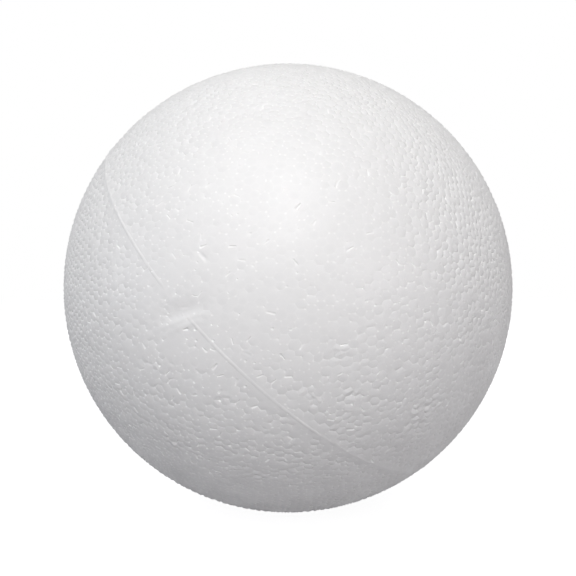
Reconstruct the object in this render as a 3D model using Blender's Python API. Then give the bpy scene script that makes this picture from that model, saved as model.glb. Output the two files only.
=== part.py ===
"""A craft ball moulded from expanded polystyrene beads.

The ball is one solid, blown with steam in a two-part mould. Where the halves of the mould met, a fine
raised flash runs round it. The skin is uneven, as fused beads leave it, with small three-sided gaps where
three beads didn't quite meet. A knock has pressed a shallow trough across the parting line, steeper on its
lower side, and there are a short crease above the knock and two small wrinkles on the other side.

Sizes are in metres and angles in degrees. The origin is the ball's centre and +Z is up, as the ball hangs.
Each mark's place is given in the mould's frame: degrees round the parting line and degrees off it, towards
the upper half. A mark's heading is counted from the direction of the parting line towards the upper half.
"""
import math
import random

import bmesh
import bpy
from mathutils import Euler, Vector

# The ball as it leaves the mould
BALL_DIAMETER = 0.150
HALF_SIDE_FACETS = 9  # triangles along half a side of the icosahedron that the ball is divided from
FACET_STRAY = 0.20  # how far a facet's corner strays along the skin, as a share of the facet's side
SKIN_UNEVENNESS = 0.00009  # how far the skin stands in or out
SKIN_SEED = 26

# The open gaps between three beads
GAP_COUNT = 480
GAP_WIDTH = 0.0011  # along one side of the gap
GAP_DEPTH = 0.0006
GAP_SPREAD = 0.30  # how far a gap's size strays from these, as a share of them
GAP_MARGIN = 0.0004  # the least that a facet's side is longer than the largest gap's
GAP_SEED = 8

# How the mould's axis leans, with the knock facing forward, along -Y
MOULD_LEAN = 47.3
MOULD_HEADING = -21.8

# The parting line
FLASH_WIDTH = 0.0009
FLASH_HEIGHT = 0.00012

# The knock: a trough pressed in across the parting line
KNOCK_ROUND = -84.6
KNOCK_OFF = -0.2
KNOCK_HEADING = 66.0
KNOCK_LENGTH = 0.020
KNOCK_REACH_UP = 0.0040  # from its deepest line to its upper edge
KNOCK_REACH_DOWN = 0.0022  # and to its lower edge, on the steeper side
KNOCK_DEPTH = 0.00040

# The crease above the knock
CREASE_ROUND = -88.9
CREASE_OFF = 9.0
CREASE_HEADING = 3.0
CREASE_LENGTH = 0.0042
CREASE_WIDTH = 0.0012
CREASE_DEPTH = 0.00025

# Two wrinkles side by side on the other side of the face
WRINKLE_ROUND = -37.4
WRINKLE_OFF = 15.2
WRINKLE_HEADING = 40.0
WRINKLE_LENGTH = 0.0095
WRINKLE_WIDTH = 0.0016
WRINKLE_DEPTH = 0.00032
SMALL_WRINKLE_ROUND = -36.3
SMALL_WRINKLE_OFF = 12.2
SMALL_WRINKLE_HEADING = 45.0
SMALL_WRINKLE_LENGTH = 0.0045
SMALL_WRINKLE_WIDTH = 0.0013
SMALL_WRINKLE_DEPTH = 0.00022

# How finely the skin is divided where it is marked
MARK_MARGIN = 0.0010  # the finer skin reaches this far past a mark
MARK_FACET = 0.0013  # the length of a facet's side there, or less

BALL_RADIUS = BALL_DIAMETER / 2
ICOSAHEDRON_SIDE = 1 / math.sin(math.radians(72))  # of the icosahedron in a ball of radius 1
FACET_SIDE = BALL_RADIUS * ICOSAHEDRON_SIDE / (2 * HALF_SIDE_FACETS)
CUT_MERGE = 1e-7  # a cut takes the vertices this near to it as its own
ON_LINE = 1e-6  # a vertex this near to the parting plane lies on the line


def clear_scene():
    """Remove whatever the file holds."""
    for old in list(bpy.data.objects):
        bpy.data.objects.remove(old, do_unlink=True)


def expanded_polystyrene():
    """White, matt and faintly glossy, as fused beads are."""
    material = bpy.data.materials.new("expanded_polystyrene")
    material.use_nodes = True
    shader = material.node_tree.nodes["Principled BSDF"]
    shader.inputs["Base Color"].default_value = (0.90, 0.90, 0.90, 1.0)
    shader.inputs["Roughness"].default_value = 0.55
    shader.inputs["Metallic"].default_value = 0.0
    return material


def direction(round_line, off_line):
    """The unit vector from the ball's centre to a place in the mould's frame."""
    around = math.radians(round_line)
    off = math.radians(off_line)
    return Vector((math.cos(off) * math.cos(around), math.cos(off) * math.sin(around), math.sin(off)))


def bell(distance, reach):
    """1 in the middle of a mark, falling smoothly to 0 where its reach ends."""
    share = min(abs(distance) / reach, 1.0)
    return 0.5 + 0.5 * math.cos(math.pi * share)


class Mark:
    """A long low hollow, deepest on its middle line."""

    def __init__(self, round_line, off_line, heading, length, reach_up, reach_down, depth):
        middle = direction(round_line, off_line)
        east = Vector((0.0, 0.0, 1.0)).cross(middle).normalized()
        north = middle.cross(east)
        turn = math.radians(heading)
        self.middle = middle
        self.along = math.cos(turn) * east + math.sin(turn) * north
        self.across = middle.cross(self.along)
        self.length = length
        self.reach_up = reach_up
        self.reach_down = reach_down
        self.depth = depth

    def depth_at(self, point):
        if point.dot(self.middle) < 0.0:
            return 0.0
        across = point.dot(self.across)
        reach = self.reach_up if across > 0.0 else self.reach_down
        return self.depth * bell(point.dot(self.along), self.length / 2) * bell(across, reach)

    def is_near(self, point):
        if point.dot(self.middle) < 0.0:
            return False
        near_along = abs(point.dot(self.along)) < self.length / 2 + MARK_MARGIN
        near_across = -self.reach_down - MARK_MARGIN < point.dot(self.across) < self.reach_up + MARK_MARGIN
        return near_along and near_across


def marks():
    """Every mark on the ball."""
    return [
        Mark(KNOCK_ROUND, KNOCK_OFF, KNOCK_HEADING,
             KNOCK_LENGTH, KNOCK_REACH_UP, KNOCK_REACH_DOWN, KNOCK_DEPTH),
        Mark(CREASE_ROUND, CREASE_OFF, CREASE_HEADING,
             CREASE_LENGTH, CREASE_WIDTH / 2, CREASE_WIDTH / 2, CREASE_DEPTH),
        Mark(WRINKLE_ROUND, WRINKLE_OFF, WRINKLE_HEADING,
             WRINKLE_LENGTH, WRINKLE_WIDTH / 2, WRINKLE_WIDTH / 2, WRINKLE_DEPTH),
        Mark(SMALL_WRINKLE_ROUND, SMALL_WRINKLE_OFF, SMALL_WRINKLE_HEADING,
             SMALL_WRINKLE_LENGTH, SMALL_WRINKLE_WIDTH / 2, SMALL_WRINKLE_WIDTH / 2, SMALL_WRINKLE_DEPTH),
    ]


def round_off(bm):
    """Put every vertex on the ball."""
    for vert in bm.verts:
        vert.co = vert.co.normalized() * BALL_RADIUS


def divided_ball(bm):
    """A ball divided into facets of about one size, whose parting line is a ring of edges."""
    bmesh.ops.create_icosphere(bm, subdivisions=1, radius=BALL_RADIUS)
    # A whole number of triangles to half a side puts a ring of edges on the parting plane
    rows = 2 * HALF_SIDE_FACETS
    bmesh.ops.subdivide_edges(bm, edges=bm.edges[:], cuts=rows - 1, use_grid_fill=True)
    round_off(bm)
    facets = random.Random(SKIN_SEED)
    for vert in bm.verts:
        is_on_line = abs(vert.co.z) < ON_LINE
        if not is_on_line:
            stray = Vector([facets.uniform(-1.0, 1.0) for _ in range(3)])
            vert.co += stray * FACET_STRAY * FACET_SIDE
    round_off(bm)


def divide_finely(bm, ball_marks):
    """Halve the edges near the marks until a facet's side is short enough."""
    halvings = math.ceil(math.log2(max(FACET_SIDE / MARK_FACET, 1.0)))
    for _ in range(halvings):
        near_edges = []
        for edge in bm.edges:
            middle = (edge.verts[0].co + edge.verts[1].co) / 2
            if any(mark.is_near(middle) for mark in ball_marks):
                near_edges.append(edge)
        bmesh.ops.subdivide_edges(bm, edges=near_edges, cuts=1, use_grid_fill=True)
        bmesh.ops.triangulate(bm, faces=bm.faces[:])
        round_off(bm)


def add_flash(bm):
    """Raise the ring on the parting line."""
    for side in (-1.0, 1.0):
        whole = bm.verts[:] + bm.edges[:] + bm.faces[:]
        cut = (0.0, 0.0, side * FLASH_WIDTH / 2)
        bmesh.ops.bisect_plane(bm, geom=whole, dist=CUT_MERGE, plane_co=cut, plane_no=(0.0, 0.0, 1.0))
    for vert in bm.verts:
        if abs(vert.co.z) < ON_LINE:
            vert.co = vert.co.normalized() * (BALL_RADIUS + FLASH_HEIGHT)


def press_marks(bm, ball_marks):
    """Press the marks into the skin and make it uneven."""
    beads = random.Random(SKIN_SEED)
    for vert in bm.verts:
        outwards = vert.co.normalized()
        depth = sum(mark.depth_at(vert.co) for mark in ball_marks)
        unevenness = beads.uniform(-SKIN_UNEVENNESS, SKIN_UNEVENNESS)
        vert.co += outwards * (unevenness - depth)


def open_gap(bm, face, width, depth):
    """Sink a three-sided gap in the middle of a facet."""
    corners = face.verts[:]
    middle = face.calc_center_median()
    share = width / (face.calc_perimeter() / 3)
    bottom = bm.verts.new(middle - middle.normalized() * depth)
    rim = [bm.verts.new(middle.lerp(corner.co, share)) for corner in corners]
    bm.faces.remove(face)
    for here, there in ((0, 1), (1, 2), (2, 0)):
        bm.faces.new((corners[here], corners[there], rim[there], rim[here]))
        bm.faces.new((rim[here], rim[there], bottom))


def open_gaps(bm):
    """Leave a gap in some of the wider facets, clear of the parting line."""
    bmesh.ops.triangulate(bm, faces=bm.faces[:])
    widest = GAP_WIDTH * (1.0 + GAP_SPREAD)
    facets = []
    for face in bm.faces:
        narrowest = min(edge.calc_length() for edge in face.edges)
        is_wide = narrowest > widest + GAP_MARGIN
        is_clear = all(abs(vert.co.z) > FLASH_WIDTH for vert in face.verts)
        if is_wide and is_clear:
            facets.append(face)
    gaps = random.Random(GAP_SEED)
    for face in gaps.sample(facets, min(GAP_COUNT, len(facets))):
        size = 1.0 + gaps.uniform(-GAP_SPREAD, GAP_SPREAD)
        open_gap(bm, face, GAP_WIDTH * size, GAP_DEPTH * size)


def moulded_ball():
    """The whole ball, leaning as it hangs."""
    bm = bmesh.new()
    ball_marks = marks()
    divided_ball(bm)
    divide_finely(bm, ball_marks)
    add_flash(bm)
    press_marks(bm, ball_marks)
    open_gaps(bm)
    bmesh.ops.triangulate(bm, faces=bm.faces[:])
    bmesh.ops.recalc_face_normals(bm, faces=bm.faces[:])
    mesh = bpy.data.meshes.new("ball")
    bm.to_mesh(mesh)
    bm.free()
    mesh.shade_smooth()
    ball = bpy.data.objects.new("ball", mesh)
    ball.rotation_euler = Euler((0.0, math.radians(MOULD_LEAN), math.radians(MOULD_HEADING)), "XYZ")
    ball.data.materials.append(expanded_polystyrene())
    return ball


def main():
    clear_scene()
    parts = bpy.data.collections.new("polystyrene_ball")
    bpy.context.scene.collection.children.link(parts)
    parts.objects.link(moulded_ball())


main()
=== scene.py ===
"""The looks of the moulded polystyrene ball: its fused beads, parting line, marks, material and studio."""
import math

import bmesh
import bpy
import numpy as np
from mathutils import Euler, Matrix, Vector


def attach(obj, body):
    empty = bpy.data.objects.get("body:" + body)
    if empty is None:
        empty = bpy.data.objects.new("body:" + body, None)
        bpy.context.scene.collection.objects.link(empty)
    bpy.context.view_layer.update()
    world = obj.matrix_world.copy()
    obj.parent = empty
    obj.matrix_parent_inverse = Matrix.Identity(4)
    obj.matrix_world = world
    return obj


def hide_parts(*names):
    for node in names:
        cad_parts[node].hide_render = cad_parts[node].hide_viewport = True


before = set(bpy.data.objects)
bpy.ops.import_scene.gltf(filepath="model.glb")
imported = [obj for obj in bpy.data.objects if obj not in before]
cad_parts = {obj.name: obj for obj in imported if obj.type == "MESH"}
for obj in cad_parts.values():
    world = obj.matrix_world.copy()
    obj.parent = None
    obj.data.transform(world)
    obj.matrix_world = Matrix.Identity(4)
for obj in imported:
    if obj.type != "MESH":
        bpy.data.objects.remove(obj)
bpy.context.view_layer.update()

# The ball, in metres and degrees. Its lean, its heading and the flash's width are the solid's
BALL_RADIUS = 0.075
SKIN_RADIUS = 0.0749  # of the mould's face, which the highest beads reach
MOULD_LEAN = 47.3
MOULD_HEADING = -21.8
FLASH_WIDTH = 0.0009
FLASH_HEIGHT = 0.00009  # before wear; the solid's is 0.00012
ON_LINE = 2e-5  # a vertex this near to a cut's plane is moved onto it

# The beads on the skin
BEADS = 17200
BEAD_SEED = 11
BEAD_JITTER = 0.35  # how far a bead's centre may stray along each axis, as a share of the even spacing
BEAD_EVENINGS = 3  # times that each bead moves back towards the middle of its own cell
BEAD_EVENING = 0.6  # by this share of the way
CROWN_SPREAD = 0.00005  # how far below the mould's face a bead's crown may stay
GROOVE_DEPTH = 0.00037  # how far a fairly deep border lies below the mould's face
# Patches where the mould pressed the skin smoother: degrees round, degrees off, reach, share of relief lost
PATCHES = [
    (-82.0, 23.0, 51.0, 0.75),
    (-104.0, -4.0, 44.0, 0.31),
    (-66.0, -16.0, 45.0, 0.50),
    (-38.0, 20.0, 42.0, 0.31),
]
LEAST_RELIEF = 0.09
RELIEF_STRAY = 0.12  # how far the relief strays from what the patches leave, as a share of it
RELIEF_WAVES = 4.0
RELIEF_SEED = 9
LINE_RELIEF = 0.35  # share of the relief left beside the parting line
LINE_STRIP = 0.022  # radians from the line where it is whole again

# The borders between beads. A seam of 0 is closed, and one of 1 is as deep as a border gets
SHARP_SEAM = 0.35  # a border with a deeper seam than this is a sharp crease
SEAM_POWER = 0.3  # the lower, the more seams are deep
SEAM_SMOOTHING = 1.6  # how strongly a smoother skin closes them
GROOVE_LEAST = 0.25  # depth of a closed border, as a share of GROOVE_DEPTH
GROOVE_MORE = 1.2  # what a seam of 1 adds to it
DIP_MOST = 1.6  # of the fine dips at the corners, which are also painted pale as highlight dots
DIP_POWER = 0.5
DIP_SMOOTHING = 1.4

# The corners between three beads that stay open as a small pit, and the borders that stay open as a slit
GAP_SHARE = 0.060
SLIT_SHARE = 0.020
GAP_RADIUS = 0.00030
GAP_RADII = (0.55, 1.45)  # the least and the most of it, as shares
GAP_DEPTH = 0.00019
GAP_DEPTHS = (0.5, 1.5)
MOST_OF_LINE = 0.45  # a pit's rim lies no further along a line than this share of it
OPEN_LEAST = 0.3  # how open the smoothest skin is
OPEN_WITH_RELIEF = 0.7  # what full relief adds
OPEN_STRAY = 0.3
OPEN_WAVES = 3.0
OPEN_SEED = 5
OPEN_ROUND = -70.0  # the middle of a patch that is more open
OPEN_OFF = -16.0
OPEN_REACH = 38.0
OPEN_MORE = 1.9

# What a vertex hands to the material, where it isn't worked out for the place
# The pits' paleness is a painted glow, brightest at the bottom, standing in for light scattered into them
PIT_PAINTED_PALE = 0.7  # how pale a pit's bottom is painted, a painted glow
RIM_PAINTED_PALE = 0.2  # and its rim's painted glow
PLAIN_TONE = 0.5
CROWN_DIP = 0.2
PLAIN_SEAM = 0.3

# How high the flash stands round the line, as shares of FLASH_HEIGHT: degrees round, and the share there
FLASH_PLACES = (-180.0, -125.0, -100.0, -84.0, -45.0, -25.0, 180.0)
FLASH_SHARES = (0.7, 1.2, 1.4, 1.0, 0.9, 0.7, 0.7)
FLASH_WORN = 0.92  # what wear leaves of that on average
FLASH_STRAY = 0.12  # and how strongly it varies along the line
FLASH_WAVES = 14.0
FLASH_SEED = 3
FLASH_LIMITS = (0.4, 1.1)
CRUSHED_ROUND = -87.0  # where the knock crushed it
CRUSHED_REACH = 3.0  # degrees to either side
CRUSHED_FADE = 2.5  # degrees further to its whole height
CRUSHED_LEFT = 0.05  # share of its height in the middle

# The material
DARK_FOAM = (0.855, 0.857, 0.862, 1)
PALE_FOAM = (0.892, 0.892, 0.896, 1)
# The colour of the painted glow in pits, along borders and in corner dips, standing in for light scattered
# into them and caught on their rims
PAINTED_GLOW_COLOUR = (0.985, 0.985, 0.985, 1)
BORDER_PAINTED_GLOW = 0.1  # how far a closed border is painted towards the painted pale glow of an open pit
FINE_RELIEF = 0.00004  # what 1 of the fine relief below measures
FINE_GROOVE = 1.0  # of the narrow groove along a border
FINE_DIP = 2.0  # of the dip at a corner
FINE_GRAIN = 0.06
GROOVE_POWER = 4.0  # the higher, the narrower the groove
GRAIN_SCALE = 2600.0
NEAR_CORNER = (0.66, 0.96)  # share of a corner at which its dip and its painted pale dot start, and at which they are strongest
NEAR_BORDER = (0.78, 0.96)  # how far from the crown the painted pale line starts, and where it is palest
SPECULAR = 0.4
ROUGHNESS = (0.36, 0.52)
FILM_SCALE = 120.0  # of the noise that the roughness follows
FILM_MIDDLE = (0.35, 0.65)  # the part of that noise that it uses

# The studio
FLOOR_HALF = 3.0
FLOOR_PAINT = (0.285, 0.28, 0.295, 1)
GLOW_NEAR = 0.93  # how white the floor glows under the ball
GLOW_FROM = 0.10  # metres from there up to which it is so
GLOW_TO = 0.60  # metres from there where it is pure white
AMBIENT = 0.01  # the light that the surround gives
CAMERA_RADII = 2.4  # from the ball's centre
CAMERA_LENS = 30.66
CAMERA_SENSOR = 36.0
# Lamps: name, the way to it, distance, size, power, colour
LAMPS = [
    ("key", (-0.12, -0.82, 0.57), 0.5, 0.4, 1.90, (1.005, 1.0, 0.99)),
    ("right", (0.6, -0.8, 0.0), 0.9, 0.4, 2.0, (1.04, 0.99, 1.0)),
    ("left", (-0.95, -0.3, 0.1), 0.9, 0.4, 0.65, (0.95, 1.0, 1.14)),
    ("back", (0.0, 0.9, 0.42), 0.9, 0.5, 4.0, (1.0, 1.0, 1.0)),
]

# Marks: degrees round the line, degrees off it, heading, length, reach up, reach down, depth, shift up
MARKS = [
    (-84.6, -0.2, 66.0, 0.020, 0.0040, 0.0021, 0.00042, 0.0),  # the knock
    (-84.6, -0.2, 66.0, 0.013, 0.0010, 0.0012, -0.00013, -0.0030),  # a low fold under it
    (-88.9, 9.0, 3.0, 0.0042, 0.0007, 0.0008, 0.00013, 0.0),  # the crease above it
    (-37.4, 15.2, 40.0, 0.0095, 0.0010, 0.0010, 0.00010, 0.0),  # the wrinkle on the other side
    (-36.3, 12.2, 45.0, 0.0045, 0.0008, 0.0008, 0.00008, 0.0),  # and a smaller one beside it
]
NICK_REACH_UP = 0.0004
NICK_REACH_DOWN = 0.0007
NICK_DEPTH = 0.00007
# Short open seams between beads, wide enough to see one by one: degrees round, degrees off, heading, length
NICKS = [
    (-71.8, 3.2, 24.0, 0.0030),
    (-83.0, -12.6, 35.0, 0.0048),
    (-79.9, -8.7, 28.0, 0.0025),
    (-75.7, -5.8, 12.0, 0.0020),
    (-58.6, 5.0, -3.0, 0.0052),
    (-50.8, 2.1, 36.0, 0.0016),
    (-53.3, 9.9, 36.0, 0.0016),
    (-69.6, -6.6, 76.0, 0.0024),
    (-68.6, -5.4, 22.0, 0.0022),
    (-68.9, -23.6, 5.0, 0.0032),
    (-52.3, -16.3, 12.0, 0.0034),
    (-60.8, 13.5, 101.0, 0.0021),
    (-60.3, 14.4, 13.0, 0.0016),
    (-87.9, -1.7, 63.0, 0.0025),
    (-85.1, 0.5, 55.0, 0.0038),
]
MARK_MARGIN = 0.0005  # the finer skin reaches this far past a mark
SPACING_SHARE = 0.30  # the skin's points near a mark lie this share of its narrower reach apart
LEAST_SPACING = 0.00025
HALVINGS = 4

WAVES = 24  # in each field of noise
INDEX_SPAN = 10000000  # more than the vertices there are


def unit(rows):
    """Each row scaled to length 1."""
    return rows / np.linalg.norm(rows, axis=1)[:, None]


def direction(round_line, off_line):
    """The unit vector from the ball's centre to a place in the mould's frame."""
    around = math.radians(round_line)
    off = math.radians(off_line)
    return np.array([math.cos(off) * math.cos(around), math.cos(off) * math.sin(around), math.sin(off)])


def noise(points, scale, seed):
    """Smooth noise between about -1 and 1, from waves in random directions."""
    rng = np.random.default_rng(seed)
    waves = rng.normal(size=(WAVES, 3))
    phases = rng.uniform(0.0, 2.0 * math.pi, WAVES)
    total = np.sin(points @ (waves.T * scale) + phases).sum(axis=1)
    return total / math.sqrt(WAVES / 2)


def bell(share):
    """1 where share is 0, falling smoothly to 0 where it is 1 or more."""
    return 0.5 + 0.5 * np.cos(math.pi * np.clip(share, 0.0, 1.0))


def even_points(count, jitter, rng):
    """Points strewn evenly over the unit sphere, along a spiral, then shaken."""
    step = np.arange(count)
    height = 1.0 - (2.0 * step + 1.0) / count
    turn = step * math.pi * (3.0 - math.sqrt(5.0))
    radius = np.sqrt(1.0 - height * height)
    points = np.c_[radius * np.cos(turn), radius * np.sin(turn), height]
    spacing = math.sqrt(4.0 * math.pi / count)
    return unit(points + rng.uniform(-1.0, 1.0, points.shape) * spacing * jitter)


def skin_triangles(points):
    """The triangles that join a sphere's neighbouring points, and the points, in the triangles' order."""
    bm = bmesh.new()
    for point in points:
        bm.verts.new(point)
    hull = bmesh.ops.convex_hull(bm, input=bm.verts[:], use_existing_faces=False)
    bmesh.ops.delete(bm, geom=hull["geom_interior"], context="VERTS")
    bm.verts.index_update()
    used = np.array([vert.co for vert in bm.verts])
    faces = np.array([[vert.index for vert in face.verts] for face in bm.faces])
    bm.free()
    corners = used[faces]
    normals = np.cross(corners[:, 1] - corners[:, 0], corners[:, 2] - corners[:, 0])
    inside_out = (normals * corners[:, 0]).sum(axis=1) < 0.0
    faces[inside_out] = faces[inside_out][:, ::-1]
    return faces, used


def evened(faces, points):
    """The points moved towards the middles of their own cells."""
    corners = unit(points[faces].sum(axis=1))
    total = np.zeros_like(points)
    for k in range(3):
        np.add.at(total, faces[:, k], corners)
    return unit(points * (1.0 - BEAD_EVENING) + unit(total) * BEAD_EVENING)


def near(outwards, round_line, off_line, reach):
    """1 at a place on the ball, falling smoothly to 0 at this many degrees from it."""
    angle = np.degrees(np.arccos(np.clip(outwards @ direction(round_line, off_line), -1.0, 1.0)))
    return bell(angle / reach)


def relief_at(outwards):
    """The share of the full relief at each point, uneven everywhere."""
    relief = np.ones(len(outwards))
    for round_line, off_line, reach, lost in PATCHES:
        relief -= lost * near(outwards, round_line, off_line, reach)
    stray = RELIEF_STRAY * noise(outwards, RELIEF_WAVES, RELIEF_SEED)
    return np.maximum(relief, LEAST_RELIEF) * (1.0 + stray)


def borders(faces):
    """For each pair of neighbouring beads a, b: the two corners where their border starts and ends."""
    start = faces.reshape(-1)
    end = np.roll(faces, -1, axis=1).reshape(-1)
    face = np.repeat(np.arange(len(faces)), 3)
    order = np.lexsort((np.maximum(start, end), np.minimum(start, end)))
    first = order[0::2]
    second = order[1::2]
    # Face `first` runs a to b, so it lies on the left of a to b
    return start[first], end[first], face[first], face[second]


class Skin:
    """The beaded skin: vertices with their looks, triangles with each corner's shares, and sharp edges."""

    def __init__(self):
        self.at = np.empty((0, 3))
        self.looks = np.empty((0, 4))
        self.triangles = np.empty((0, 3), int)
        self.shares = np.empty((0, 3, 3))
        self.sharp = np.empty((0, 2), int)

    def add_verts(self, at, *looks):
        """Add vertices with their gap (how pale a pit is painted, a painted glow), tone, dip and seam, and
        return their indices.
        """
        index = np.arange(len(at)) + len(self.at)
        self.at = np.concatenate((self.at, at))
        columns = [np.broadcast_to(column, len(at)) for column in looks]
        self.looks = np.concatenate((self.looks, np.stack(columns, axis=1)))
        return index

    def add_triangles(self, some, *corners):
        """Add the triangles that some marks; a corner is its vertices and their shares of crown and ends."""
        triangles = np.stack([index[some] for index, share in corners], axis=1)
        shares = np.stack([share[some] for index, share in corners], axis=1)
        self.triangles = np.concatenate((self.triangles, triangles))
        self.shares = np.concatenate((self.shares, shares))

    def add_sharp(self, some, start, end):
        """Make the edges that some marks sharp; start and end are corners as in add_triangles."""
        self.sharp = np.concatenate((self.sharp, np.stack((start[0][some], end[0][some]), axis=1)))

    def edges(self):
        """Every edge once, lower index first, and the row of it that each triangle's three sides are."""
        sides = np.stack((self.triangles, np.roll(self.triangles, -1, axis=1)), axis=2)
        sides = np.sort(sides, axis=2).reshape(-1, 2)
        rows, which = np.unique(sides[:, 0] * len(self.at) + sides[:, 1], return_inverse=True)
        ends = np.stack((rows // len(self.at), rows % len(self.at)), axis=1)
        return ends, which.reshape(-1, 3)

    def split(self, ends, sides, chosen, along):
        """Split the chosen edges, each this share along, and the triangles on either side of them."""
        one, two = ends[chosen].T
        share = along[chosen][:, None]
        middle = np.full(len(ends), -1)
        middle[chosen] = np.arange(len(one)) + len(self.at)
        was_sharp = self.is_sharp(ends)
        both = was_sharp[chosen]
        halves = [np.stack((end[both], middle[chosen][both]), axis=1) for end in (one, two)]
        self.sharp = np.concatenate([ends[was_sharp & ~chosen]] + halves)
        tri = self.triangles
        new = middle[sides]
        forward = tri < np.roll(tri, -1, axis=1)
        part = np.where(forward, along[sides], 1.0 - along[sides])[:, :, None]
        part_shares = self.shares * (1.0 - part) + np.roll(self.shares, -1, axis=1) * part
        self.at = np.concatenate((self.at, self.at[one] * (1.0 - share) + self.at[two] * share))
        self.looks = np.concatenate((self.looks, self.looks[one] * (1.0 - share) + self.looks[two] * share))

        # Turn each triangle so that its first side is split and, where two are, its last one isn't
        is_split = new >= 0
        count = is_split.sum(axis=1)
        first = np.where(count == 2, (np.argmin(is_split, axis=1) + 1) % 3, np.argmax(is_split, axis=1))
        turn = (first[:, None] + np.arange(3)) % 3
        row = np.arange(len(tri))[:, None]
        index = np.concatenate((tri[row, turn], new[row, turn]), axis=1)
        value = np.concatenate((self.shares[row, turn], part_shares[row, turn]), axis=1)
        # Corners 0, 1 and 2, and 3, 4 and 5 on the sides that start at them
        patterns = {
            0: ((0, 1, 2),),
            1: ((0, 3, 2), (3, 1, 2)),
            2: ((3, 1, 4), (0, 3, 4), (0, 4, 2)),
            3: ((0, 3, 5), (3, 1, 4), (5, 4, 2), (3, 4, 5)),
        }
        triangles = []
        shares = []
        for number, pattern in patterns.items():
            some = count == number
            for corners in pattern:
                triangles.append(index[some][:, corners])
                shares.append(value[some][:, corners])
        self.triangles = np.concatenate(triangles)
        self.shares = np.concatenate(shares)

    def is_sharp(self, ends):
        """Whether each edge is sharp; its ends have the lower index first."""
        sharp = np.sort(self.sharp, axis=1)
        return np.isin(ends[:, 0] * INDEX_SPAN + ends[:, 1], sharp[:, 0] * INDEX_SPAN + sharp[:, 1])


def towards(start, end, length):
    """The share of the way from start to end that this length is, and never quite half."""
    return np.minimum(length / np.linalg.norm(end - start, axis=1), MOST_OF_LINE)


def between(start, end, share):
    """The points at these shares of the way from start to end."""
    return start + (end - start) * share[:, None]


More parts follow.
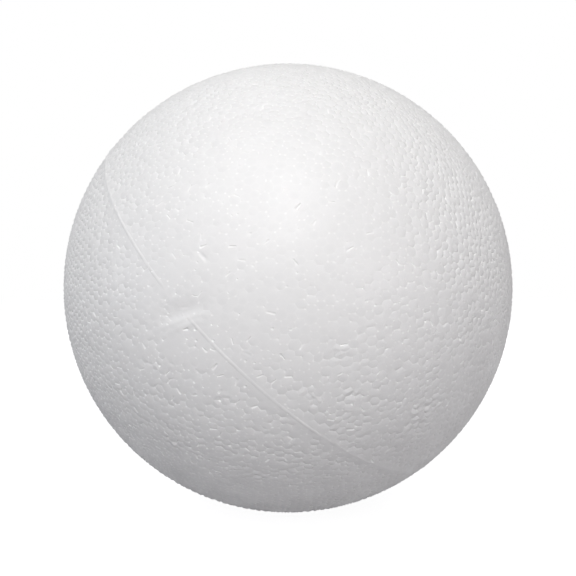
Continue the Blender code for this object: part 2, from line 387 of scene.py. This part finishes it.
def beaded_skin():
    """The beads' skin in the mould's frame: each bead is a low dome, with pits and slits between some."""
    rng = np.random.default_rng(BEAD_SEED)
    faces, beads = skin_triangles(even_points(BEADS, BEAD_JITTER, rng))
    for _ in range(BEAD_EVENINGS):
        faces, beads = skin_triangles(evened(faces, beads))
    corners = unit(beads[faces].sum(axis=1))
    bead_a, bead_b, left, right = borders(faces)

    off_line = np.clip(np.abs(corners[:, 2]) / LINE_STRIP, LINE_RELIEF, 1.0)
    depth_share = relief_at(corners) * off_line
    openness = OPEN_LEAST + OPEN_WITH_RELIEF * depth_share
    openness = openness + OPEN_MORE * near(corners, OPEN_ROUND, OPEN_OFF, OPEN_REACH)
    openness = openness * (1.0 + OPEN_STRAY * noise(corners, OPEN_WAVES, OPEN_SEED)) * off_line
    is_slit = rng.uniform(size=len(left)) < SLIT_SHARE * openness[left]
    is_gap = rng.uniform(size=len(corners)) < GAP_SHARE * openness
    is_gap[left[is_slit]] = True
    is_gap[right[is_slit]] = True

    # Where the skin is smooth, most borders are nearly closed and a few are deep
    seam = rng.uniform(0.0, 1.0, len(corners)) ** (SEAM_POWER / depth_share ** SEAM_SMOOTHING)
    groove = GROOVE_DEPTH * depth_share * (GROOVE_LEAST + GROOVE_MORE * seam)
    crown = CROWN_SPREAD * relief_at(beads) * rng.uniform(0.0, 1.0, len(beads))
    gap = np.where(is_gap, GAP_DEPTH * rng.uniform(*GAP_DEPTHS, len(corners)), 0.0)
    rim = GAP_RADIUS * rng.uniform(*GAP_RADII, len(corners))
    dip = DIP_MOST * rng.uniform(0.0, 1.0, len(corners)) ** (DIP_POWER / depth_share ** DIP_SMOOTHING)
    dip[is_gap] = 0.0

    skin = Skin()
    bead_tone = rng.uniform(0.0, 1.0, len(beads))
    bead_at = beads * (SKIN_RADIUS - crown)[:, None]
    corner_at = corners * (SKIN_RADIUS - groove)[:, None]
    # The first look, gap, is a painted glow: pits are painted pale at the bottom and less so at the rim
    skin.add_verts(bead_at, 0.0, bead_tone, CROWN_DIP, PLAIN_SEAM)
    corner_low = corners * (SKIN_RADIUS - groove - gap)[:, None]
    corner_index = skin.add_verts(corner_low, is_gap * PIT_PAINTED_PALE, PLAIN_TONE, dip, seam)

    # A pit's rim has a vertex on each line from the pit to a bead's crown
    gaps = np.where(is_gap)[0]
    spoke_index = np.full((len(corners), 3), -1)
    spoke_share = np.zeros((len(corners), 3))
    for k in range(3):
        crowns = bead_at[faces[gaps, k]]
        spoke_share[gaps, k] = towards(corner_at[gaps], crowns, rim[gaps])
        at = between(corner_at[gaps], crowns, spoke_share[gaps, k])
        spoke_index[gaps, k] = skin.add_verts(at, RIM_PAINTED_PALE, bead_tone[faces[gaps, k]], 0.0, PLAIN_SEAM)

    # The rim has one on each border that leaves the pit too, unless that border is a slit
    border_rim = {}
    for side, here, there in (("left", left, right), ("right", right, left)):
        chosen = np.where(is_gap[here] & ~is_slit)[0]
        near_share = np.zeros(len(left))
        near_share[chosen] = towards(corner_at[here[chosen]], corner_at[there[chosen]], rim[here[chosen]])
        at = between(corner_at[here[chosen]], corner_at[there[chosen]], near_share[chosen])
        near_index = np.full(len(left), -1)
        near_index[chosen] = skin.add_verts(at, RIM_PAINTED_PALE, PLAIN_TONE, 0.0, seam[here[chosen]])
        border_rim[side] = (near_index, near_share)

    def shares(crown_share, one_share, two_share):
        """Rows of how much of the crown and of the border's two ends a vertex has."""
        columns = [np.broadcast_to(column, len(left)) for column in (crown_share, one_share, two_share)]
        return np.stack(columns, axis=1)

    def spoke(corner, bead):
        """The rim vertex of a pit on its line to a bead, or -1, and its share of the crown."""
        slot = np.argmax(faces[corner] == bead[:, None], axis=1)
        return spoke_index[corner, slot], spoke_share[corner, slot]

    is_deep = (seam[left] + seam[right]) / 2 > SHARP_SEAM

    # Each border has a triangle to the crown on either side: bead, from-corner, to-corner, anticlockwise
    for bead, one, two, one_side, two_side in (
        (bead_a, right, left, "right", "left"),
        (bead_b, left, right, "left", "right"),
    ):
        one_index, one_share = spoke(one, bead)
        two_index, two_share = spoke(two, bead)
        crown_corner = (bead, shares(1.0, 0.0, 0.0))
        one_at = (corner_index[one], shares(0.0, 1.0, 0.0))
        two_at = (corner_index[two], shares(0.0, 0.0, 1.0))
        one_rim = (one_index, shares(one_share, 1.0 - one_share, 0.0))
        two_rim = (two_index, shares(two_share, 0.0, 1.0 - two_share))
        index, share = border_rim[one_side]
        near_one = (index, shares(0.0, 1.0 - share, share))
        index, share = border_rim[two_side]
        near_two = (index, shares(0.0, share, 1.0 - share))
        one_open = is_gap[one]
        two_open = is_gap[two]

        some = ~one_open & ~two_open
        skin.add_triangles(some, crown_corner, one_at, two_at)
        skin.add_sharp(some & is_deep, one_at, two_at)

        some = one_open & ~two_open
        skin.add_triangles(some, one_rim, one_at, near_one)
        skin.add_triangles(some, one_rim, near_one, two_at)
        skin.add_triangles(some, one_rim, two_at, crown_corner)
        skin.add_sharp(some & is_deep, near_one, two_at)
        skin.add_sharp(some, one_rim, near_one)

        some = two_open & ~one_open
        skin.add_triangles(some, two_rim, near_two, two_at)
        skin.add_triangles(some, two_rim, one_at, near_two)
        skin.add_triangles(some, two_rim, crown_corner, one_at)
        skin.add_sharp(some & is_deep, near_two, one_at)
        skin.add_sharp(some, two_rim, near_two)

        some = one_open & two_open & ~is_slit
        skin.add_triangles(some, one_rim, one_at, near_one)
        skin.add_triangles(some, two_rim, near_two, two_at)
        skin.add_triangles(some, crown_corner, one_rim, two_rim)
        skin.add_triangles(some, one_rim, near_one, near_two)
        skin.add_triangles(some, one_rim, near_two, two_rim)
        skin.add_sharp(some & is_deep, near_one, near_two)
        skin.add_sharp(some, one_rim, near_one)
        skin.add_sharp(some, two_rim, near_two)

        some = is_slit
        skin.add_triangles(some, one_rim, one_at, two_at)
        skin.add_triangles(some, one_rim, two_at, two_rim)
        skin.add_triangles(some, crown_corner, one_rim, two_rim)
        skin.add_sharp(some, one_rim, two_rim)
    return skin


class Marks:
    """The knock, creases and wrinkles, as smooth hollows and folds."""

    def __init__(self, rows):
        self.rows = []
        for round_line, off_line, heading, length, reach_up, reach_down, depth, shift in rows:
            middle = direction(round_line, off_line)
            east = unit(np.cross([[0.0, 0.0, 1.0]], [middle]))[0]
            north = np.cross(middle, east)
            turn = math.radians(heading)
            along = math.cos(turn) * east + math.sin(turn) * north
            across = np.cross(middle, along)
            self.rows.append((middle, along, across, length, reach_up, reach_down, depth, shift))

    def depth_at(self, points):
        """How deep the marks are at each point."""
        total = np.zeros(len(points))
        for middle, along, across, length, reach_up, reach_down, depth, shift in self.rows:
            up = points @ across - shift
            far_along = np.abs(points @ along) / (length / 2)
            far_across = np.abs(up) / np.where(up > 0.0, reach_up, reach_down)
            total += np.where(points @ middle > 0.0, bell(far_along) * bell(far_across) * depth, 0.0)
        return total

    def spacing_at(self, points):
        """How far apart the skin's points may lie at each point, to carry the marks there."""
        spacing = np.full(len(points), np.inf)
        for middle, along, across, length, reach_up, reach_down, depth, shift in self.rows:
            near_along = np.abs(points @ along) < length / 2 + MARK_MARGIN
            up = points @ across - shift
            near_across = (up < reach_up + MARK_MARGIN) & (up > -reach_down - MARK_MARGIN)
            is_near = near_along & near_across & (points @ middle > 0.0)
            wanted = max(SPACING_SHARE * min(reach_up, reach_down), LEAST_SPACING)
            spacing[is_near] = np.minimum(spacing[is_near], wanted)
        return spacing


def divide_finely(skin, marks):
    """Halve the skin's edges near the marks until its points lie close enough."""
    for _ in range(HALVINGS):
        ends, sides = skin.edges()
        one = skin.at[ends[:, 0]]
        two = skin.at[ends[:, 1]]
        length = np.linalg.norm(one - two, axis=1)
        chosen = length > marks.spacing_at((one + two) / 2)
        # Where a side is split, its triangle's longest side is too, which keeps the triangles wide
        longest = sides[np.arange(len(sides)), np.argmax(length[sides], axis=1)]
        chosen[longest[chosen[sides].any(axis=1)]] = True
        skin.split(ends, sides, chosen, np.full(len(ends), 0.5))


def cut_flash(skin):
    """Cut the skin along the parting line and along both feet of its flash."""
    for height in (0.0, -FLASH_WIDTH / 2, FLASH_WIDTH / 2):
        skin.at[np.abs(skin.at[:, 2] - height) < ON_LINE, 2] = height
        ends, sides = skin.edges()
        below = skin.at[ends, 2] - height
        chosen = below[:, 0] * below[:, 1] < 0.0
        along = np.where(chosen, below[:, 0] / np.where(chosen, below[:, 0] - below[:, 1], 1.0), 0.0)
        skin.split(ends, sides, chosen, along)
        skin.at[np.abs(skin.at[:, 2] - height) < ON_LINE / 2, 2] = height
        if height != 0.0:
            ends, sides = skin.edges()
            foot = ends[(skin.at[ends, 2] == height).all(axis=1)]
            skin.sharp = np.concatenate((skin.sharp, foot))


def flash_fade(points):
    """How far the flash stands at each point: higher on one side of the knock, which crushed it."""
    around = np.degrees(np.arctan2(points[:, 1], points[:, 0]))
    ring = np.c_[np.cos(np.radians(around)), np.sin(np.radians(around)), np.zeros(len(around))]
    worn = FLASH_WORN + FLASH_STRAY * noise(ring, FLASH_WAVES, FLASH_SEED)
    off_knock = np.abs(around - CRUSHED_ROUND) - CRUSHED_REACH
    left = np.clip(off_knock / CRUSHED_FADE, CRUSHED_LEFT, 1.0)
    return np.clip(worn, *FLASH_LIMITS) * left * np.interp(around, FLASH_PLACES, FLASH_SHARES)


def press_skin(points, marks):
    """Raise the flash and press the marks in."""
    reach = np.linalg.norm(points, axis=1)
    outwards = points / reach[:, None]
    crest = np.clip(1.0 - np.abs(points[:, 2]) / (FLASH_WIDTH / 2), 0.0, 1.0)
    reach += FLASH_HEIGHT * flash_fade(points) * crest
    reach -= marks.depth_at(points)
    return outwards * reach[:, None]


def beaded_ball():
    """The whole skin as one object in the frame's axes."""
    nicks = [row + (NICK_REACH_UP, NICK_REACH_DOWN, NICK_DEPTH, 0.0) for row in NICKS]
    marks = Marks(MARKS + nicks)
    skin = beaded_skin()
    cut_flash(skin)
    divide_finely(skin, marks)
    pressed = press_skin(skin.at, marks)
    clear = np.clip((np.abs(skin.at[:, 2]) - FLASH_WIDTH / 2) / FLASH_WIDTH, 0.0, 1.0)
    relief = relief_at(unit(skin.at)) * clear

    mesh = bpy.data.meshes.new("ball_skin")
    mesh.from_pydata(skin.at.tolist(), [], skin.triangles.tolist())
    mesh.shade_smooth()
    ends = np.empty(len(mesh.edges) * 2, np.int64)
    mesh.edges.foreach_get("vertices", ends)
    ends = np.sort(ends.reshape(-1, 2), axis=1)
    mesh.attributes.new("sharp_edge", "BOOLEAN", "EDGE").data.foreach_set("value", skin.is_sharp(ends))
    # The gap attribute carries the pits' painted glow to the material
    columns = list(skin.looks.T) + [relief]
    for name, column in zip(("gap", "tone", "dip", "seam", "relief"), columns):
        mesh.attributes.new(name, "FLOAT", "POINT").data.foreach_set("value", np.ascontiguousarray(column))
    mesh.attributes.new("cell", "FLOAT_VECTOR", "CORNER").data.foreach_set("vector", skin.shares.reshape(-1))
    lean = Euler((0.0, math.radians(MOULD_LEAN), math.radians(MOULD_HEADING)), "XYZ").to_matrix()
    mesh.vertices.foreach_set("co", (pressed @ np.array(lean).T).reshape(-1))
    mesh.update()
    ball = bpy.data.objects.new("ball_skin", mesh)
    bpy.context.scene.collection.objects.link(ball)
    return ball


def math_node(nodes, links, operation, first, second=None, clamp=False):
    """One arithmetic node on sockets or plain numbers, and its result."""
    node = nodes.new("ShaderNodeMath")
    node.operation = operation
    node.use_clamp = clamp
    for socket, value in zip(node.inputs, (first, second)):
        if isinstance(value, bpy.types.NodeSocket):
            links.new(value, socket)
        elif value is not None:
            socket.default_value = value
    return node.outputs[0]


def ranged(nodes, links, value, low, high, from_low=0.0, from_high=1.0, smooth=False):
    """The value moved from one range to another, clamped to it."""
    node = nodes.new("ShaderNodeMapRange")
    node.interpolation_type = "SMOOTHSTEP" if smooth else "LINEAR"
    links.new(value, node.inputs["Value"])
    node.inputs["From Min"].default_value = from_low
    node.inputs["From Max"].default_value = from_high
    node.inputs["To Min"].default_value = low
    node.inputs["To Max"].default_value = high
    return node.outputs["Result"]


def foam_material():
    """White fused foam: each bead has its own shade, its film is glossier in places, and its borders, pits
    and corner dips are painted paler as a painted glow.
    """
    material = bpy.data.materials.new("expanded_polystyrene")
    material.use_nodes = True
    nodes = material.node_tree.nodes
    links = material.node_tree.links
    shader = nodes["Principled BSDF"]
    shader.inputs["Specular IOR Level"].default_value = SPECULAR

    def attribute(name):
        node = nodes.new("ShaderNodeAttribute")
        node.attribute_name = name
        return node

    def clouds(scale, detail):
        node = nodes.new("ShaderNodeTexNoise")
        node.inputs["Scale"].default_value = scale
        node.inputs["Detail"].default_value = detail
        links.new(coords.outputs["Object"], node.inputs["Vector"])
        return node.outputs["Fac"]

    coords = nodes.new("ShaderNodeTexCoord")
    shade = nodes.new("ShaderNodeValToRGB")
    shade.color_ramp.elements[0].color = DARK_FOAM
    shade.color_ramp.elements[1].color = PALE_FOAM
    links.new(attribute("tone").outputs["Fac"], shade.inputs["Fac"])

    # Where a point lies in its bead: 1 on the border, and 1 at a corner
    cell = nodes.new("ShaderNodeSeparateXYZ")
    links.new(attribute("cell").outputs["Vector"], cell.inputs[0])
    border = math_node(nodes, links, "SUBTRACT", 1.0, cell.outputs["X"])
    corner = math_node(nodes, links, "MAXIMUM", cell.outputs["Y"], cell.outputs["Z"])
    near_corner = ranged(nodes, links, corner, 0.0, 1.0, *NEAR_CORNER, smooth=True)
    dip = math_node(nodes, links, "MULTIPLY", near_corner, attribute("dip").outputs["Fac"])

    # Painted glow: the colour is painted paler along the borders, in the pits and in the corner dips,
    # standing in for light scattered into them and caught on their rims
    painted_pale_line = ranged(nodes, links, border, 0.0, BORDER_PAINTED_GLOW, *NEAR_BORDER, smooth=True)
    painted_pale_glow = math_node(nodes, links, "ADD", painted_pale_line, attribute("gap").outputs["Fac"])
    painted_pale_glow = math_node(nodes, links, "ADD", painted_pale_glow, dip, clamp=True)
    pale = nodes.new("ShaderNodeMix")
    pale.data_type = "RGBA"
    pale.inputs["B"].default_value = PAINTED_GLOW_COLOUR
    links.new(painted_pale_glow, pale.inputs["Factor"])
    links.new(shade.outputs["Color"], pale.inputs["A"])
    links.new(pale.outputs["Result"], shader.inputs["Base Color"])

    film = clouds(FILM_SCALE, 3.0)
    links.new(ranged(nodes, links, film, *ROUGHNESS, *FILM_MIDDLE), shader.inputs["Roughness"])

    # The fine relief: a narrow groove along each border and a dip at each corner, on a grain of tiny cells
    groove = math_node(nodes, links, "POWER", border, GROOVE_POWER)
    groove = math_node(nodes, links, "MULTIPLY", groove, attribute("seam").outputs["Fac"])
    depth = math_node(nodes, links, "MULTIPLY", groove, FINE_GROOVE)
    deeper = math_node(nodes, links, "MULTIPLY", dip, FINE_DIP)
    depth = math_node(nodes, links, "ADD", depth, deeper)
    grain = math_node(nodes, links, "MULTIPLY", clouds(GRAIN_SCALE, 2.0), FINE_GRAIN)
    depth = math_node(nodes, links, "MULTIPLY", depth, attribute("relief").outputs["Fac"])
    height = math_node(nodes, links, "SUBTRACT", grain, depth)
    bump = nodes.new("ShaderNodeBump")
    bump.inputs["Strength"].default_value = 1.0
    bump.inputs["Distance"].default_value = FINE_RELIEF
    links.new(height, bump.inputs["Height"])
    links.new(bump.outputs["Normal"], shader.inputs["Normal"])
    return material


def seen_directly(nodes, links):
    """A socket that is 1 for what is seen directly or in a reflection, and 0 for light's own paths."""
    path = nodes.new("ShaderNodeLightPath")
    total = path.outputs["Is Camera Ray"]
    for name in ("Is Glossy Ray", "Is Transmission Ray"):
        total = math_node(nodes, links, "ADD", total, path.outputs[name], clamp=True)
    return total


def floor():
    """A pale floor that shows white, apart from the ball's soft shadow."""
    mesh = bpy.data.meshes.new("floor")
    corners = [(x * FLOOR_HALF, y * FLOOR_HALF, 0.0) for x, y in ((-1, -1), (1, -1), (1, 1), (-1, 1))]
    mesh.from_pydata(corners, [], [(0, 1, 2, 3)])
    ground = bpy.data.objects.new("floor", mesh)
    ground.location = (0.0, 0.0, -BALL_RADIUS)
    bpy.context.scene.collection.objects.link(ground)

    material = bpy.data.materials.new("floor")
    material.use_nodes = True
    nodes = material.node_tree.nodes
    links = material.node_tree.links
    nodes.remove(nodes["Principled BSDF"])
    paint = nodes.new("ShaderNodeBsdfDiffuse")
    paint.inputs["Color"].default_value = FLOOR_PAINT
    coords = nodes.new("ShaderNodeTexCoord")
    far = nodes.new("ShaderNodeVectorMath")
    far.operation = "LENGTH"
    links.new(coords.outputs["Object"], far.inputs[0])
    glow = ranged(nodes, links, far.outputs["Value"], GLOW_NEAR, 1.0, GLOW_FROM, GLOW_TO)
    strength = math_node(nodes, links, "MULTIPLY", glow, seen_directly(nodes, links))
    light = nodes.new("ShaderNodeEmission")
    links.new(strength, light.inputs["Strength"])
    both = nodes.new("ShaderNodeAddShader")
    links.new(paint.outputs[0], both.inputs[0])
    links.new(light.outputs[0], both.inputs[1])
    links.new(both.outputs[0], nodes["Material Output"].inputs["Surface"])
    mesh.materials.append(material)


def camera():
    """The photograph's view, level with the ball's centre."""
    data = bpy.data.cameras.new("camera")
    data.lens = CAMERA_LENS
    data.sensor_width = CAMERA_SENSOR
    view = bpy.data.objects.new("camera", data)
    view.location = (0.0, -CAMERA_RADII * SKIN_RADIUS, 0.0)
    view.rotation_euler = Euler((math.radians(90.0), 0.0, 0.0), "XYZ")
    bpy.context.scene.collection.objects.link(view)
    bpy.context.scene.camera = view


def lamp(name, towards_it, distance, size, power, color):
    """A square soft lamp that faces the ball."""
    data = bpy.data.lights.new(name, "AREA")
    data.size = size
    data.energy = power
    data.color = color
    light = bpy.data.objects.new(name, data)
    at = Vector(towards_it).normalized() * distance
    light.location = at
    light.rotation_euler = (-at).to_track_quat("-Z", "Y").to_euler()
    bpy.context.scene.collection.objects.link(light)


def studio():
    """A white surround that gives little light itself, and soft lamps."""
    world = bpy.data.worlds.new("studio")
    bpy.context.scene.world = world
    world.use_nodes = True
    nodes = world.node_tree.nodes
    links = world.node_tree.links
    background = nodes["Background"]
    background.inputs["Color"].default_value = (1, 1, 1, 1)
    level = ranged(nodes, links, seen_directly(nodes, links), AMBIENT, 1.0)
    links.new(level, background.inputs["Strength"])
    for row in LAMPS:
        lamp(*row)


skin_object = beaded_ball()
skin_object.data.materials.append(foam_material())
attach(skin_object, "root")
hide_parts("ball")
floor()
camera()
studio()
bpy.context.scene.view_settings.view_transform = "Standard"
